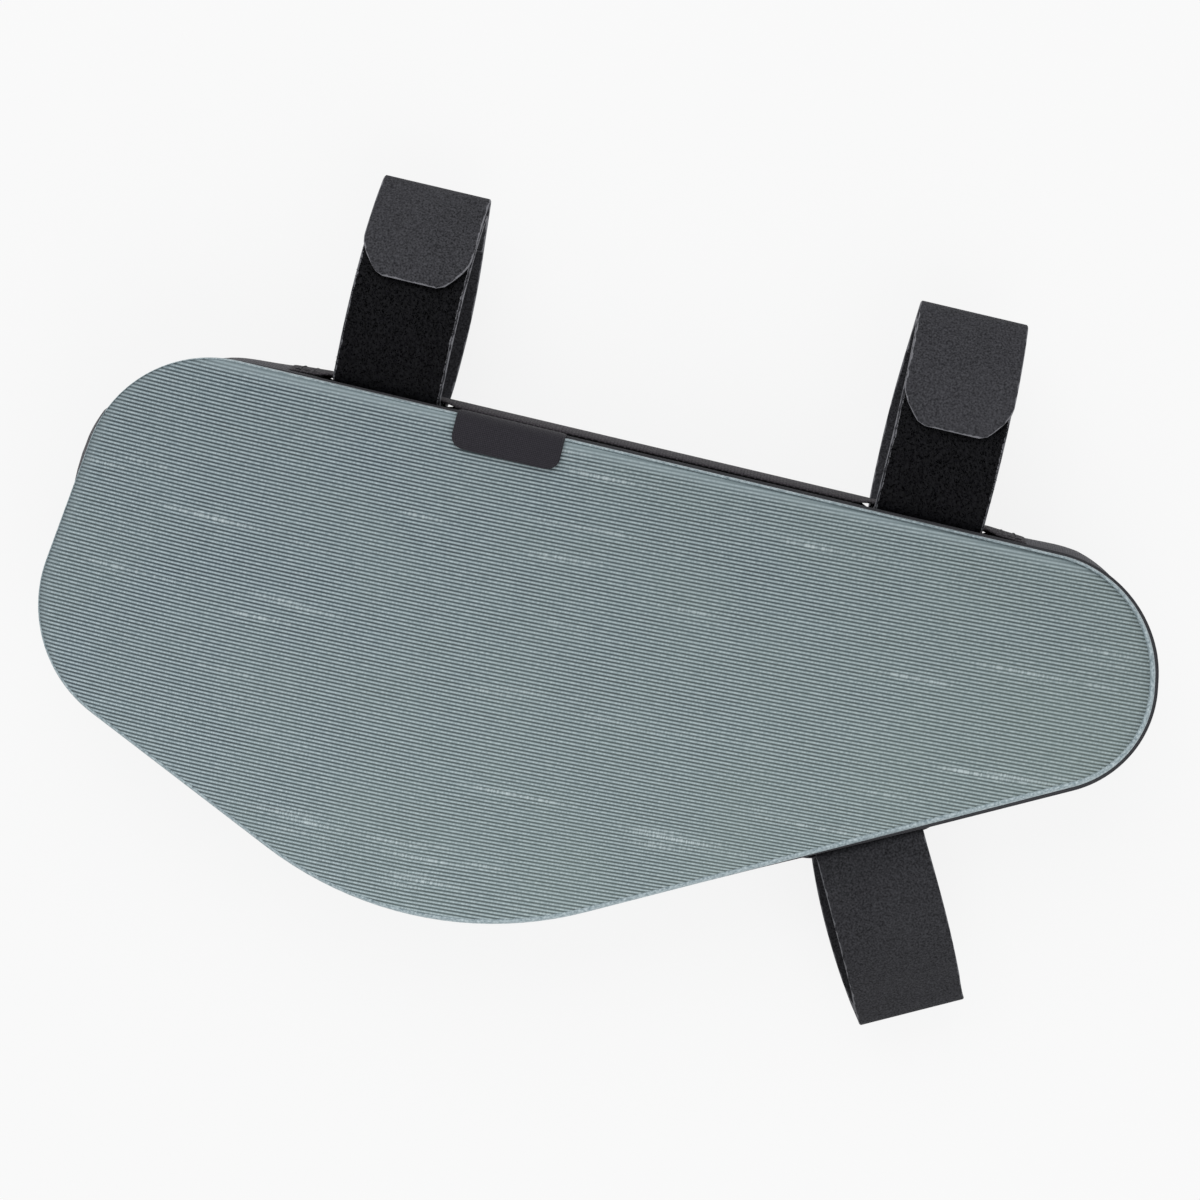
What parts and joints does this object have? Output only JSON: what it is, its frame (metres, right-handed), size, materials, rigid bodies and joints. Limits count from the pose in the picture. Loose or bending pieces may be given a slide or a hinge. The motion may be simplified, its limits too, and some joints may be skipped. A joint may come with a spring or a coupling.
{
  "type": "bicycle frame bag",
  "caption": "Flat frame bag with a rounded five-cornered outline, ribbed front panel, bulging gusset, sewn webbing and hook-and-loop straps that go round a bicycle's frame tubes",
  "frame": {"origin": "in the flat face of the back panel that the bag rests on", "axes": "X along the long top edge, towards the narrow end; Y up in the plane of the bag, towards the top edge; Z out of the front panel"},
  "size_m": [0.3042, 0.1995, 0.045],
  "materials": {
    "ribbed_cloth": "matt ribbed cloth, blue-grey",
    "charcoal_cloth": "matt plain weave, charcoal",
    "strap_rubber": "matt fine-grained rubber film on a knit, dark grey",
    "webbing_tape": "woven tape, black",
    "pile_fabric": "loop pile, black",
    "hook_tape": "hook tape, black",
    "label_cloth": "close satin weave, black",
    "zip_tape": "coated zip tape, black"
  },
  "bodies": {
    "root": {"front_panel": "ribbed_cloth", "back_panel": "charcoal_cloth", "gusset": "charcoal_cloth", "webbing_top": "webbing_tape", "webbing_lower": "webbing_tape", "strap_left": "strap_rubber", "strap_right": "strap_rubber", "strap_lower": "strap_rubber", "pile_left": "pile_fabric", "pile_right": "pile_fabric", "pile_lower": "pile_fabric", "hook_left": "hook_tape", "hook_right": "hook_tape", "hook_lower": "hook_tape", "label": "label_cloth", "zip": "zip_tape"}
  },
  "joints": []
}
